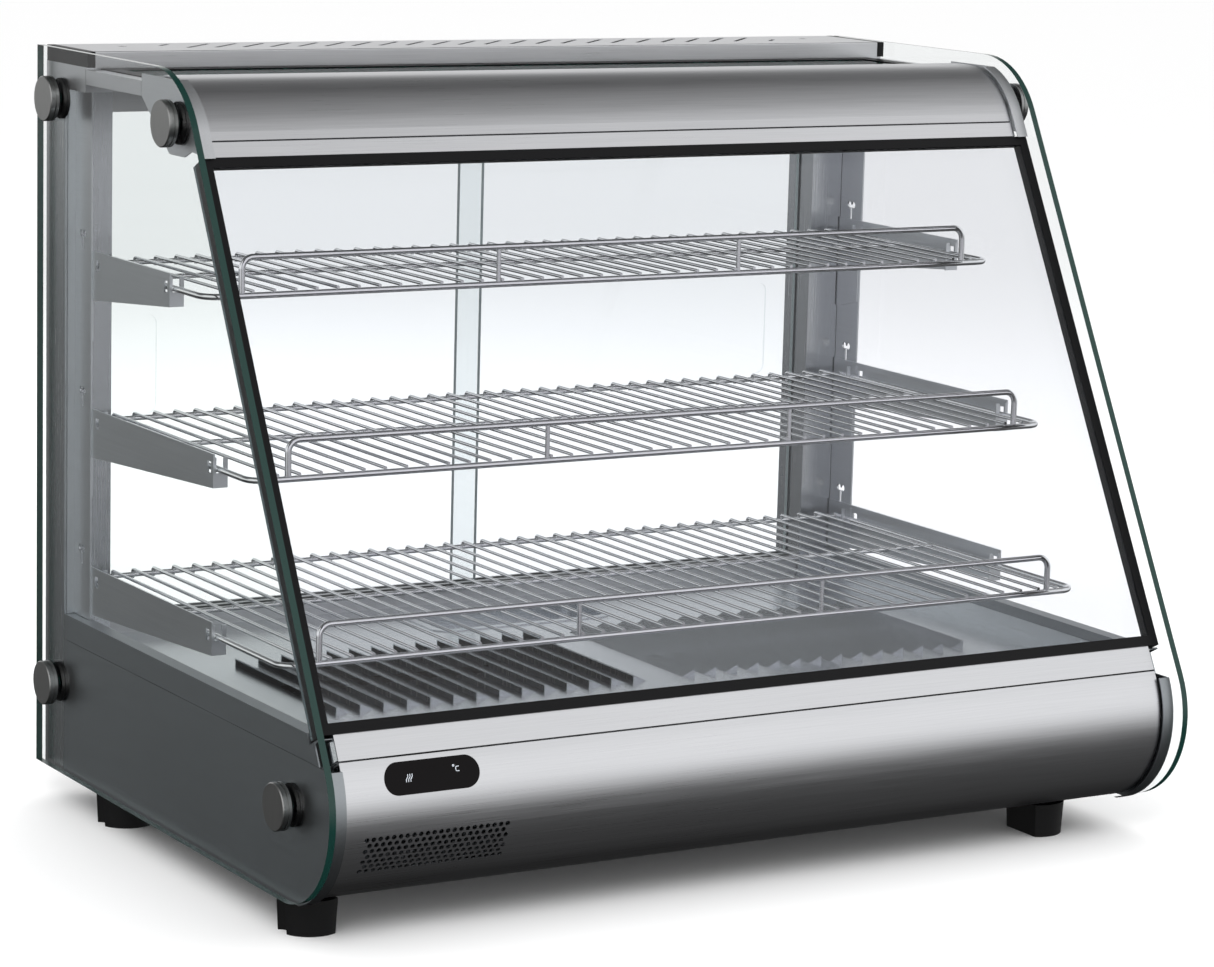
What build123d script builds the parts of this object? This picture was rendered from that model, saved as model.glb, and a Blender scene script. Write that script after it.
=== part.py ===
from build123d import *
from math import asin, cos, degrees, radians, sin
import os

# Heated counter display case: a steel base with the heater and fan, two frameless side glasses
# held by stand-off knobs, a sloping double-glazed front, a glass top, sliding rear doors and
# three lift-out wire shelves.
# Millimetres. The origin is on the counter under the middle of the case: +X to the right of
# someone who faces the front, +Y towards the serving side at the back, +Z up.

# ---- overall sizes
WIDTH = 857.0                # over the outer faces of the side glasses
DEPTH = 600.0                # nose of the side glasses to their back edges
HEIGHT = 686.0               # counter to the top of the case
FOOT_HEIGHT = 30.0

# ---- side glasses and their stand-off knobs
SLOPE = 28.2                 # lean of the front from upright, degrees
NOSE_R = 84.0                # radius at the bottom front of a side glass
CROWN_R = 87.0               # radius at the top front of a side glass
GLASS_T = 6.0
GLASS_LIFT = 2.0             # side glass stands this much above the underside of the base
KNOB_D = 40.0
KNOB_T = 8.0
STUD_D = 6.0
NUT_R = 5.77                 # across the corners of the stud nuts, radius
STUD_IN = 14.0               # the studs reach this far inside the frame
STUD_HOLE_D = 12.0
WASHER_T = 2.0               # soft washer under the knob
SPACER_T = 3.0               # soft washer between glass and frame
REAR_KNOB_IN = 36.0          # rear knob centres, in from the back edge of the glass
TOP_KNOB_DOWN = 45.0         # upper knob centres, below the top edge of the glass
LOW_KNOB_UP = 82.0           # lower knob centres, above the underside of the base
CROWN_KNOB_FWD = 34.4        # upper front knob centre, forward of the middle of the crown radius

# ---- skins
SHEET = 1.2
PANEL_INSET = 12.5           # front skins lie this much inside the side glass slope
PANEL_NOSE_R = 84.0
COVER_DROP = 10.0            # upper front cover, below the top edge of the glass
COVER_CROWN_R = 76.0
CHEEK_PROUD = 4.0            # cheek edges stand this much outside the front skins
CHEEK_STRIP = 11.0           # width of the folded cheek edge
SEAM_GAP = 1.5
LOW_SEAM_UP = 128.0          # lower seam, above the underside of the base
LOW_TRIM = 22.0              # length of the lower trim strip up the slope
HIGH_SEAM_DOWN = 57.0        # upper seam, below the top of the case
HIGH_TRIM = 13.5             # length of the upper trim strip down the slope
HEM = 12.0                   # folded edges
PANEL_BACK = 85.0            # the lower panel runs this far back under the base past its nose
COVER_PAST = 25.6            # upper cover rear edge, behind the middle of the crown radius

# ---- front glass
PANE_T = 4.0
PANE_GAP = 10.0
SEAL_W = 8.5                 # visible width of the black edge
SEAL_T = 1.2
SPACER_W = 5.0
FRONT_GLASS_SIDE = 3.0       # gap between the front glass and a side glass

# ---- base
RAIL_DROP = 23.0             # height of the box rails beside the deck
RAIL_W = 13.5
SEAM_UP = 123.0              # top of the base sides, above the underside
DECK_UP = 122.0              # deck floor, above the underside
DECK_WALL = 15.0
POST_DEPTH = 43.0
POST_WIDTH = 45.0
POST_WALL = 1.5
LOUVRE_COUNT = 14
LOUVRE_PITCH = 22.4
LOUVRE_W = 13.0
LOUVRE_RISE = 6.0
LOUVRE_FRONT = 200.0         # front ends of the louvres, behind the nose
LOUVRE_BACK = 200.0          # rear ends of the louvres, forward of the back of the case
LOUVRE_INNER = 25.0          # innermost louvre, from the middle of the case
TRAY_W = 180.0
TRAY_D = 76.0
TRAY_DEEP = 16.0
TRAY_T = 1.0
TRAY_FROM_BACK = 112.0       # middle of the water tray, forward of the back of the case

# ---- display and vent in the lower front panel
DISPLAY_W = 86.0
DISPLAY_H = 25.0
DISPLAY_IN = 100.5           # display middle, from the outer face of the left glass
DISPLAY_UP = 111.5           # display middle, above the underside of the base
VENT_ROWS = 7
VENT_COLS = 22
VENT_HOLE_D = 4.2
VENT_PITCH = 6.1
VENT_ROW = 5.3
VENT_IN = 105.5              # vent middle, from the outer face of the left glass
VENT_TOP = 64.8              # top row of holes, above the underside of the base

# ---- top
TOP_GLASS_T = 6.0
TOP_BORDER_W = 15.0
TOP_BORDER_T = 0.8
BAR_W = 14.0
BAR_H = 13.0
COVER_H = 14.0               # height of the rear cover
COVER_DEPTH = 92.0
CAP_W = 7.0
SLOT_COUNT = 22
SLOT_PITCH = 27.5
SLOT_LENGTH = 60.0
SLOT_W = 4.0
SLOT_ANGLE = 47.0
HEADER_H = 22.0

# ---- rear doors
DOOR_T = 5.0
DOOR_GAP = 9.0
DOOR_LAP = 9.0               # each door reaches this far past the middle
DOOR_CLEAR = 1.5             # running gap round a door
TRACK_H = 16.0
TRACK_WALL = 1.5
GROOVE_W = 16.0              # ground finger groove in the back of each door
GROOVE_LENGTH = 90.0
GROOVE_DEPTH = 2.0
GROOVE_IN = 40.0             # middle of the groove, in from the outer edge of its door

# ---- shelves
SHELF_LEVELS = {"upper": 466.0, "middle": 325.0, "lower": 181.5}   # front rod, above the underside
SHELF_FRONT = {"upper": 295.0, "middle": 202.0, "lower": 140.0}    # front rod, behind the nose
BRACKET_BEHIND = {"upper": 60.0, "middle": 62.0, "lower": 124.0}   # bracket tip, behind the front rod
ROD_D = 5.5
WIRE_D = 3.0
WIRE_PITCH = 20.0
WIRE_MARGIN = 12.0           # least gap from the last wire to the side rod
ROD_BEND_R = 16.0
RAIL_HEIGHT = 30.0
RAIL_POST_D = 4.0
RAIL_IN = 32.0               # ends of a guard rail, in from the side rods, before they fit the wires
BRACKET_T = 1.5
BRACKET_REAR_H = 44.0
BRACKET_FRONT_H = 29.0
BRACKET_ABOVE = 13.5         # bracket top edge, above the rod
BRACKET_WING_H = 88.0
UPRIGHT_W = 37.0
UPRIGHT_GAP = 0.5            # between the uprights and the posts
SHELF_CLEAR = 2.0            # between a shelf's side and the brackets
KEYHOLE_UP = 14.0            # keyhole above each bracket

# ---- feet
FOOT_R = 27.0
FOOT_FLAT = 15.0             # flat inner side, from the middle of the foot
FOOT_NOTCH = 7.0
FOOT_LEFT_IN = 34.0          # left feet, from the outer face of the left glass
FOOT_RIGHT_IN = 90.0         # right feet, from the outer face of the right glass
FOOT_FRONT = 102.0           # front feet, behind the nose
FOOT_REAR = 128.0            # rear feet, forward of the back

# ---- rear controls
SWITCH_W = 26.0
SWITCH_H = 20.0
DIAL_D = 30.0
DIAL_T = 9.0
GLAND_D = 20.0
CORD_BORE = 8.5
FIT = 0.05                   # running fit of small turning parts, radial
BUTT = 0.4                   # assembly gap between neighbouring sheet parts

# ---- heater and fan
FAN_R = 62.0
FAN_BLADES = 5
MOTOR_D = 54.0
MOTOR_H = 42.0
SHAFT_D = 6.0
ELEMENT_D = 7.0

# ---- derived frame
REAR = DEPTH / 2
SIDE_X = WIDTH / 2
INNER_X = SIDE_X - GLASS_T               # inner faces of the side glasses
FRAME_X = INNER_X - SPACER_T             # outer faces of the steel frame
BASE_Z = FOOT_HEIGHT
GLASS_Z = BASE_Z + GLASS_LIFT
UP = Vector(sin(radians(SLOPE)), cos(radians(SLOPE)))        # up the slope, as (y, z)
OUT = Vector(-UP.Y, UP.X)                                    # square out of the slope
NOSE = Vector(-REAR + NOSE_R, GLASS_Z + NOSE_R)              # centre of the nose radius
SLOPE_FOOT = NOSE + OUT * NOSE_R                             # where the nose meets the slope
CROWN_Y = SLOPE_FOOT.X + (CROWN_R + UP.X * (HEIGHT - CROWN_R - SLOPE_FOOT.Y)) / UP.Y
LOW_SEAM_Z = BASE_Z + LOW_SEAM_UP
HIGH_SEAM_Z = HEIGHT - HIGH_SEAM_DOWN
COVER_Z = HEIGHT - COVER_DROP
COVER_END = CROWN_Y + COVER_PAST
CHEEK_END = COVER_END + 20               # rear ends of the cheeks
SEAM_Z = BASE_Z + SEAM_UP
RAIL_TOP = SEAM_Z + RAIL_DROP
DECK_Z = BASE_Z + DECK_UP
DECK_X = FRAME_X - RAIL_W
POST_FRONT = REAR - POST_DEPTH
POST_INNER = FRAME_X - POST_WIDTH
POST_TOP = HEIGHT - COVER_H - HEADER_H
UNIT_T = 2 * PANE_T + PANE_GAP
TRAY_Y = REAR - TRAY_FROM_BACK
UPRIGHT_X = FRAME_X - 9.0                # outer face of a shelf upright
BRACKET_X = UPRIGHT_X - BRACKET_T        # outer face of a bracket
SHELF_X = BRACKET_X - BRACKET_T - SHELF_CLEAR
UPRIGHT_Y = POST_FRONT - UPRIGHT_GAP     # rear edge of a shelf upright
SHELF_BACK = UPRIGHT_Y - UPRIGHT_W / 2
PANEL_Y = REAR - 12                       # outer face of the rear service panel
CONTROL_Z = BASE_Z + 62
SWITCH_LOW = CONTROL_Z - SWITCH_H / 2
SWITCH_HIGH = CONTROL_Z + SWITCH_H / 2
GLAND_Z = BASE_Z + 30
GLAND_X = -POST_INNER + 74.5
SWITCH_XS = (POST_INNER - 144.5, POST_INNER - 94.5)
DIAL_X = POST_INNER - 204.5
COVER_Y = REAR - COVER_DEPTH              # front face of the rear cover
COVER_SCREW_X = FRAME_X - 57.5
COVER_SCREW_Y = COVER_Y + COVER_DEPTH * 0.62


def slope_y(z, inset):
    """Y at height z on the line that lies inset inside the slope of the side glasses."""
    return SLOPE_FOOT.X + (inset + UP.X * (z - SLOPE_FOOT.Y)) / UP.Y


def outline(inset, bottom, top, nose_r, crown_r, back=REAR):
    """Side view of the case as (y, z): flat below and above, round nose and crown, sloping front."""
    nose = Vector(slope_y(bottom + nose_r, inset + nose_r), bottom + nose_r)
    crown = Vector(slope_y(top - crown_r, inset + crown_r), top - crown_r)
    chin = Vector(nose.X, bottom)
    brow = nose + OUT * nose_r
    shoulder = crown + OUT * crown_r
    peak = Vector(crown.X, top)
    edges = [
        Line((back, bottom), chin),
        TangentArc(chin, brow, tangent=(-1, 0)),
        Line(brow, shoulder),
        TangentArc(shoulder, peak, tangent=(UP.X, UP.Y)),
        Line(peak, (back, top)),
        Line((back, top), (back, bottom)),
    ]
    return make_face(edges)


def skin(depth, back=REAR):
    """Outline of the steel skins, depth inside their outer faces."""
    return outline(PANEL_INSET + depth, BASE_Z + depth, COVER_Z - depth,
                   PANEL_NOSE_R - depth, COVER_CROWN_R - depth, back)


def rect(y0, y1, z0, z1):
    """Upright rectangle in the side view."""
    return make_face(Polyline((y0, z0), (y1, z0), (y1, z1), (y0, z1), close=True))


def slope_rect(z, length, inset, depth):
    """Rectangle square to the slope: from height z on the skin up by length, inset inwards by depth."""
    start = Vector(slope_y(z, PANEL_INSET), z) - OUT * (inset - PANEL_INSET)
    corners = [start, start + UP * length, start + UP * length - OUT * depth, start - OUT * depth]
    return make_face(Polyline(*corners, close=True))


def along_x(face, x0, x1):
    """Push a side view face out between two X positions."""
    return extrude(Plane.YZ.offset(x0) * face, amount=x1 - x0)


def block(x0, x1, y0, y1, z0, z1):
    """Box from its six faces."""
    return Pos((x0 + x1) / 2, (y0 + y1) / 2, (z0 + z1) / 2) * Box(x1 - x0, y1 - y0, z1 - z0)


def rod(start, end, diameter):
    """Round bar between two points."""
    axis = Vector(*end) - Vector(*start)
    return extrude(Plane(origin=start, z_dir=axis) * Circle(diameter / 2), amount=axis.length)


def bent_rod(points, radii, diameter):
    """Round bar along straight runs with bends of the given radii."""
    path = FilletPolyline(*points, radius=radii)
    first = Vector(*points[1]) - Vector(*points[0])
    return sweep(Plane(origin=points[0], z_dir=first) * Circle(diameter / 2), path=path)


def mirrored(part):
    """The same piece on the other side of the case."""
    return mirror(part, about=Plane.YZ)


def both(part):
    """A piece and its mirror image, as separate solids."""
    return [part, mirrored(part)]


def save(name, pieces):
    """Write one node: a piece, or a group of separate solids."""
    solids = []
    for piece in pieces if isinstance(pieces, list) else [pieces]:
        solids += piece.solids()
    whole = solids[0] if len(solids) == 1 else Compound(children=solids)
    export_step(whole, f"parts/{name}.step")


# ---- knobs --------------------------------------------------------------------------------------
KNOB_CENTRES = [
    (REAR - REAR_KNOB_IN, HEIGHT - TOP_KNOB_DOWN),
    (CROWN_Y - CROWN_KNOB_FWD, HEIGHT - TOP_KNOB_DOWN),
    (-REAR + NOSE_R - GLASS_LIFT, BASE_Z + LOW_KNOB_UP),
    (REAR - REAR_KNOB_IN, BASE_Z + LOW_KNOB_UP),
]


def knob_sites(x0, x1, diameter):
    """Round discs at the four left-hand knob centres, between two X positions."""
    return [rod((x0, y, z), (x1, y, z), diameter) for y, z in KNOB_CENTRES]


def glass_knobs():
    """Brushed discs with a chamfered face, a shallow grip groove and a blind stud hole."""
    knobs = []
    face_x = -SIDE_X - WASHER_T - KNOB_T
    for y, z in KNOB_CENTRES:
        disc = rod((face_x, y, z), (-SIDE_X - WASHER_T, y, z), KNOB_D)
        disc = chamfer(disc.edges().group_by(Axis.X)[0], 0.8)
        groove_x = -SIDE_X - WASHER_T - KNOB_T * 0.45
        ring = rod((groove_x, y, z), (groove_x + 0.8, y, z), KNOB_D + 2)
        ring -= rod((groove_x, y, z), (groove_x + 0.8, y, z), KNOB_D - 1.6)
        hole = rod((face_x + 2.5, y, z), (-SIDE_X - WASHER_T, y, z), STUD_D)
        knobs += both(disc - ring - hole)
    return knobs


def knob_washers():
    """Soft rings on both faces of the glass at every knob."""
    rings = []
    for x0, x1 in [(-SIDE_X - WASHER_T, -SIDE_X), (-INNER_X, -FRAME_X)]:
        for disc, hole in zip(knob_sites(x0, x1, KNOB_D - 4), knob_sites(x0, x1, STUD_HOLE_D)):
            rings += both(disc - hole)
    return rings


def knob_studs():
    """Threaded studs, each with a lock nut behind the sheet."""
    studs = []
    tip = -FRAME_X + STUD_IN
    for y, z in KNOB_CENTRES:
        shank = rod((-SIDE_X - WASHER_T - KNOB_T + 2.5, y, z), (tip, y, z), STUD_D)
        nut_face = Plane(origin=(-FRAME_X + POST_WALL, y, z), x_dir=(0, 0, 1), z_dir=(1, 0, 0))
        nut = extrude(nut_face * RegularPolygon(NUT_R, 6), amount=5)
        studs += both(shank + nut)
    return studs


def knob_holes(x0, x1, diameter=STUD_D + 1):
    """Cutters for the stud holes, which are wider in the glass."""
    return knob_sites(x0, x1, diameter)


# ---- glass --------------------------------------------------------------------------------------
def side_glass():
    face = outline(0, GLASS_Z, HEIGHT, NOSE_R, CROWN_R)
    pane = along_x(face, -SIDE_X, -INNER_X)
    for hole in knob_holes(-SIDE_X - 1, -INNER_X + 1, STUD_HOLE_D):
        pane -= hole
    return pane


LOW_TRIM_Z = LOW_SEAM_Z + SEAM_GAP * UP.Y            # lower end of the lower trim strip
UNIT_LOW_Z = LOW_TRIM_Z + (LOW_TRIM + 1.0) * UP.Y    # lower edge of the double glazing
HIGH_TRIM_Z = HIGH_SEAM_Z - SEAM_GAP * UP.Y          # upper end of the upper trim strip
UNIT_HIGH_Z = HIGH_TRIM_Z - (HIGH_TRIM + 1.0) * UP.Y
UNIT_LENGTH = (UNIT_HIGH_Z - UNIT_LOW_Z) / UP.Y
UNIT_X = INNER_X - FRONT_GLASS_SIDE


def unit_ring(width, inset, depth):
    """Rectangular ring round the edge of the front glazing."""
    outer = along_x(slope_rect(UNIT_LOW_Z, UNIT_LENGTH, inset, depth), -UNIT_X, UNIT_X)
    low = UNIT_LOW_Z + width * UP.Y
    hole = slope_rect(low, UNIT_LENGTH - 2 * width, inset - 1, depth + 2)
    return outer - along_x(hole, -UNIT_X + width, UNIT_X - width)


def front_pane(inset):
    return along_x(slope_rect(UNIT_LOW_Z, UNIT_LENGTH, inset, PANE_T), -UNIT_X, UNIT_X)


def front_glass_seal():
    """Black edge on the outer pane, with blocks at the lower corners that catch the trim."""
    ring = unit_ring(SEAL_W, PANEL_INSET - SEAL_T, SEAL_T)
    foot = slope_rect(UNIT_LOW_Z - 1.0 * UP.Y, 1.0, PANEL_INSET - SEAL_T, SEAL_T + UNIT_T)
    return ring + along_x(foot, -UNIT_X, UNIT_X)


# ---- feet and screws: places ---------------------------------------------------------------------
FOOT_SITES = [
    (-SIDE_X + FOOT_LEFT_IN, -REAR + FOOT_FRONT, 1),
    (-SIDE_X + FOOT_LEFT_IN, REAR - FOOT_REAR, 1),
    (SIDE_X - FOOT_RIGHT_IN, -REAR + FOOT_FRONT, -1),
    (SIDE_X - FOOT_RIGHT_IN, REAR - FOOT_REAR, -1),
]
FOOT_SCREW_D = 5.0
FOOT_SCREW_OUT = 2.0         # screws sit this far outboard of the foot centres


def foot_screw_holes():
    """Cutters for the foot screws in the sheets above the feet."""
    hole = extrude(Plane.XY.offset(BASE_Z - 1) * Circle(FOOT_SCREW_D / 2), amount=5)
    return [Pos(x - FOOT_SCREW_OUT * side, y, 0) * hole for x, y, side in FOOT_SITES]


# ---- front skins --------------------------------------------------------------------------------
PANEL_X = FRAME_X - CHEEK_STRIP - BUTT
PANEL_NOSE = Vector(slope_y(BASE_Z + PANEL_NOSE_R, PANEL_INSET + PANEL_NOSE_R), BASE_Z + PANEL_NOSE_R)
PANEL_END = PANEL_NOSE.X + PANEL_BACK


def below_seam(seam_z):
    """Everything under a line square to the slope at the given height."""
    edge = Vector(slope_y(seam_z, PANEL_INSET), seam_z)
    far_out = edge + OUT * 60
    far_in = edge - OUT * (SHEET + 0.5)
    corners = [far_out, far_in, (PANEL_END, BASE_Z + 60), (PANEL_END, BASE_Z - 20), (far_out.X, BASE_Z - 20)]
    return make_face(Polyline(*corners, close=True))


def on_nose(angle, radius):
    """Point (y, z) on the round front of the lower panel, angle degrees below level."""
    tilt = radians(angle)
    return (PANEL_NOSE.X - radius * cos(tilt), PANEL_NOSE.Y - radius * sin(tilt))


def vent_holes():
    """Staggered rows of round holes, drilled square to the curved panel."""
    first = degrees(asin((PANEL_NOSE.Y - BASE_Z - VENT_TOP) / PANEL_NOSE_R))
    step = degrees(VENT_ROW / PANEL_NOSE_R)
    middle = -SIDE_X + VENT_IN
    holes = []
    for row in range(VENT_ROWS):
        count = VENT_COLS - row % 2
        inner = on_nose(first + step * row, PANEL_NOSE_R - 4)
        outer = on_nose(first + step * row, PANEL_NOSE_R + 2)
        for col in range(count):
            x = middle + (col - (count - 1) / 2) * VENT_PITCH
            holes.append(rod((x, *inner), (x, *outer), VENT_HOLE_D))
    return holes


def display_prism(grow):
    """Pill-shaped bar along Y at the display, larger all round by grow."""
    middle = (-SIDE_X + DISPLAY_IN, -REAR - 5, BASE_Z + DISPLAY_UP)
    face = Plane(origin=middle, x_dir=(1, 0, 0), z_dir=(0, 1, 0))
    shape = SlotOverall(DISPLAY_W + 2 * grow, DISPLAY_H + 2 * grow)
    return extrude(face * shape, amount=60)


def lower_front_panel():
    face = (skin(0) - skin(SHEET)) & below_seam(LOW_SEAM_Z)
    hem = slope_rect(LOW_SEAM_Z - SHEET * UP.Y, SHEET, PANEL_INSET, HEM)
    panel = along_x(face + hem, -PANEL_X, PANEL_X)
    panel -= vent_holes()
    panel -= foot_screw_holes()
    return panel - display_prism(0.3)


def display_window():
    """Glossy window set in the panel, standing a hair proud, with a rim behind the sheet."""
    body = along_x(skin(-0.4) - skin(SHEET + 1.5), -PANEL_X, PANEL_X) & display_prism(0)
    rim = along_x(skin(SHEET + 0.05) - skin(SHEET + 1.5), -PANEL_X, PANEL_X) & display_prism(1.2)
    return body + rim


def lower_trim_strip():
    """Flat strip between the lower panel and the front glass, folded in along both edges."""
    face = slope_rect(LOW_TRIM_Z, LOW_TRIM, PANEL_INSET, SHEET)
    face += slope_rect(LOW_TRIM_Z, SHEET, PANEL_INSET, HEM)
    face += slope_rect(LOW_TRIM_Z + (LOW_TRIM - SHEET) * UP.Y, SHEET, PANEL_INSET, UNIT_T + 3)
    return along_x(face, -PANEL_X, PANEL_X)


def upper_trim_strip():
    low = HIGH_TRIM_Z - HIGH_TRIM * UP.Y
    face = slope_rect(low, HIGH_TRIM, PANEL_INSET, SHEET)
    face += slope_rect(low, SHEET, PANEL_INSET, UNIT_T + 3)
    face += slope_rect(low + (HIGH_TRIM - SHEET) * UP.Y, SHEET, PANEL_INSET, HEM)
    return along_x(face, -PANEL_X, PANEL_X)


def upper_front_cover():
    """Round cover over the top front edge, folded in at the seam and down at its rear edge."""
    seam = Vector(slope_y(HIGH_SEAM_Z, PANEL_INSET), HIGH_SEAM_Z)
    far_out = seam + OUT * 60
    far_in = seam - OUT * (SHEET + 0.5)
    high = COVER_Z + 20
    corners = [far_out, far_in, (COVER_END, COVER_Z - 40), (COVER_END, high), (far_out.X, high)]
    region = make_face(Polyline(*corners, close=True))
    face = (skin(0) - skin(SHEET)) & region
    face += slope_rect(HIGH_SEAM_Z, SHEET, PANEL_INSET, HEM)
    face += rect(COVER_END - SHEET, COVER_END, COVER_Z - TOP_GLASS_T, COVER_Z)
    return along_x(face, -PANEL_X, PANEL_X)


# ---- cheeks -------------------------------------------------------------------------------------
def base_side():
    """Left side of the base: plate, folded front edge, folded top and bottom."""
    profile = skin(-CHEEK_PROUD, POST_FRONT - BUTT)
    window = rect(-REAR, POST_FRONT - BUTT, BASE_Z, SEAM_Z - BUTT)
    plate = along_x(profile & window, -FRAME_X, -FRAME_X + SHEET)
    lip = (profile - skin(-CHEEK_PROUD + SHEET, POST_FRONT - BUTT))
    lip &= rect(-REAR, NOSE.X, BASE_Z, SEAM_Z - BUTT)
    side = plate + along_x(lip, -FRAME_X, -FRAME_X + CHEEK_STRIP)
    for z in (BASE_Z, SEAM_Z - BUTT - SHEET):
        front = slope_y(z, PANEL_INSET + HEM) if z > BASE_Z else NOSE.X
        side += block(-FRAME_X, -FRAME_X + CHEEK_STRIP, front + 2, POST_FRONT - BUTT, z, z + SHEET)
    for hole in knob_holes(-FRAME_X - 1, -FRAME_X + SHEET + 0.1):
        side -= hole
    return side


def upper_cheek():
    """Left end of the upper cover: plate rounded under the knob, with a folded edge strip."""
    knob_y, knob_z = KNOB_CENTRES[1]
    profile = skin(-CHEEK_PROUD) & rect(-REAR, CHEEK_END, BASE_Z, COVER_Z)
    under = knob_z - KNOB_D / 2 - 8
    seam = slope_y(HIGH_SEAM_Z - HIGH_TRIM, 0)
    corners = [
        (CHEEK_END, COVER_Z + 5), (CHEEK_END, COVER_Z - 19), (knob_y + 22, under), (knob_y - 8, under),
        (knob_y - 22, under + 6), (seam - 10, HIGH_SEAM_Z - HIGH_TRIM), (seam - 60, COVER_Z + 5),
    ]
    shape = profile & fillet(make_face(Polyline(*corners, close=True)).vertices().sort_by(Axis.Y)[:2], 8)
    plate = along_x(shape, -FRAME_X, -FRAME_X + SHEET)
    strip_window = rect(-REAR, COVER_END - 10, HIGH_SEAM_Z - HIGH_TRIM, COVER_Z)
    lip = (profile - skin(-CHEEK_PROUD + SHEET)) & strip_window
    cheek = plate + along_x(lip, -FRAME_X, -FRAME_X + CHEEK_STRIP)
    for hole in knob_holes(-FRAME_X - 1, -FRAME_X + SHEET + 0.1):
        cheek -= hole
    return cheek


# ---- base box -----------------------------------------------------------------------------------
def deck_rail():
    """Left box rail on top of the base side, cut to the slope at the front."""
    front = PANEL_INSET + SHEET + BUTT
    outer = outline(front, BASE_Z, RAIL_TOP, PANEL_NOSE_R, 1.0, POST_FRONT - BUTT)
    body = along_x(outer & rect(-REAR, REAR, SEAM_Z, RAIL_TOP), -FRAME_X, -DECK_X)
    lower = block(-FRAME_X + SHEET, -DECK_X - SHEET, -REAR, REAR, SEAM_Z - 5, RAIL_TOP - SHEET)
    behind_glass = slope_rect(LOW_TRIM_Z + (LOW_TRIM - SHEET) * UP.Y, 60, -20, PANEL_INSET + UNIT_T + 24)
    behind_trim = slope_rect(SEAM_Z - 30, 60, -20, PANEL_INSET + HEM + 21)
    return body - lower - along_x(behind_glass + behind_trim, -FRAME_X - 1, -DECK_X + 1)


LOUVRE_Y = -REAR + LOUVRE_FRONT
LOUVRE_LENGTH = DEPTH - LOUVRE_FRONT - LOUVRE_BACK


def louvre():
    """Pressed louvre over the middle: a flap lifted along its left side, closed at both ends."""
    half = LOUVRE_W / 2
    flap = Polyline((half, -SHEET), (half, 0), (-half, LOUVRE_RISE), (-half, LOUVRE_RISE - SHEET), close=True)
    end = Polyline((half, -SHEET), (-half, LOUVRE_RISE - SHEET), (-half, -SHEET), close=True)
    hood = extrude(Plane.XZ * make_face(flap), amount=-LOUVRE_LENGTH)
    near = extrude(Plane.XZ * make_face(end), amount=-SHEET)
    return Pos(0, LOUVRE_Y, DECK_Z) * (hood + near + Pos(0, LOUVRE_LENGTH - SHEET, 0) * near)


def deck_panel():
    """Interior floor: louvres over the heater, side walls, and a well for the water tray."""
    front = slope_y(DECK_Z, PANEL_INSET + UNIT_T + 6)
    floor = block(-DECK_X + BUTT, DECK_X - BUTT, front, POST_FRONT - BUTT, DECK_Z - SHEET, DECK_Z)
    floor += block(-POST_INNER + BUTT, POST_INNER - BUTT, POST_FRONT - 5, PANEL_Y, DECK_Z - SHEET, DECK_Z)
    for side in (-1, 1):
        x0, x1 = sorted([side * (DECK_X - BUTT), side * (DECK_X - BUTT - SHEET)])
        floor += block(x0, x1, front + 12, POST_FRONT - BUTT, DECK_Z - SHEET, DECK_Z + DECK_WALL)
    slit = block(-LOUVRE_W / 2, LOUVRE_W / 2, LOUVRE_Y + SHEET, LOUVRE_Y + LOUVRE_LENGTH - SHEET,
                 DECK_Z - 2 * SHEET, DECK_Z + SHEET)
    slits, hoods = [], []
    for i in range(LOUVRE_COUNT):
        place = Pos(-LOUVRE_INNER - i * LOUVRE_PITCH, 0, 0)
        slits += both(place * slit)
        hoods += both(place * louvre())
    well = block(-TRAY_W / 2, TRAY_W / 2, TRAY_Y - TRAY_D / 2, TRAY_Y + TRAY_D / 2, DECK_Z - 5, DECK_Z + 5)
    return floor - slits + hoods - well


def water_tray():
    """Shallow humidity pan whose rim hangs on the edge of the deck well."""
    corner = 12.0
    bowl = extrude(RectangleRounded(TRAY_W + 10, TRAY_D + 10, corner + 5), amount=TRAY_T)
    bowl += extrude(RectangleRounded(TRAY_W - 2, TRAY_D - 2, corner), amount=-TRAY_DEEP)
    hollow = RectangleRounded(TRAY_W - 2 - 2 * TRAY_T, TRAY_D - 2 - 2 * TRAY_T, corner - TRAY_T)
    bowl -= Pos(0, 0, TRAY_T - TRAY_DEEP) * extrude(hollow, amount=TRAY_DEEP + TRAY_T)
    return Pos(0, TRAY_Y, DECK_Z) * bowl


def base_pan():
    """Underside of the case: flat plate with low upturned edges and rows of air slots."""
    edge = 10.0
    front = PANEL_END + BUTT
    pan_x = FRAME_X - CHEEK_STRIP - BUTT
    pan = block(-pan_x, pan_x, front, PANEL_Y, BASE_Z, BASE_Z + SHEET)
    for side in (-1, 1):
        x0, x1 = sorted([side * pan_x, side * (pan_x - SHEET)])
        pan += block(x0, x1, front, POST_FRONT - BUTT - 1, BASE_Z, BASE_Z + edge)
    pan -= both(block(POST_INNER - BUTT, pan_x + 1, POST_FRONT - BUTT, REAR, BASE_Z - 1, BASE_Z + edge + 1))
    slot = extrude(SlotOverall(70, 5), amount=SHEET * 3)
    slots = [Pos(x, y, BASE_Z - SHEET) * slot for x in (-220, -120, 120, 220) for y in range(-40, 101, 14)]
    pan -= foot_screw_holes()
    return pan - slots


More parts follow.
